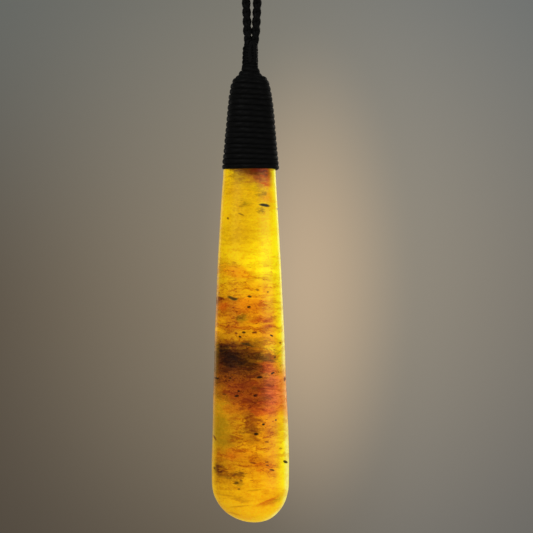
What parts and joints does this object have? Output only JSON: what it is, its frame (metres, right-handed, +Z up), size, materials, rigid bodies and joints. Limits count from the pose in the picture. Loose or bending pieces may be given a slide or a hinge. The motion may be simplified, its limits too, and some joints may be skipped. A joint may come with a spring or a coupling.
{
  "type": "drop pendant on a plaited neck cord",
  "caption": "Long oval drop of translucent stone, its top bound in waxed thread, hung from a looped plaited neck cord.",
  "frame": {"origin": "the point at the top of the neck cord's loop, on its inner side, where it bears on what holds it up", "axes": "+Z up along the hanging pendant, the stone's broad front face towards -Y, +X to the right seen from the front"},
  "size_m": [0.0254, 0.0086, 0.4025],
  "materials": {
    "stone": "polished, translucent honey and amber with dark inclusions",
    "waxed_thread": "black waxed thread, dull sheen",
    "plaited_cord": "black waxed thread, plaited, dull sheen"
  },
  "bodies": {
    "root": {"stone_drop": "stone", "binding": "waxed_thread", "stem_wrap": "waxed_thread", "neck_cord": "plaited_cord"}
  },
  "joints": []
}
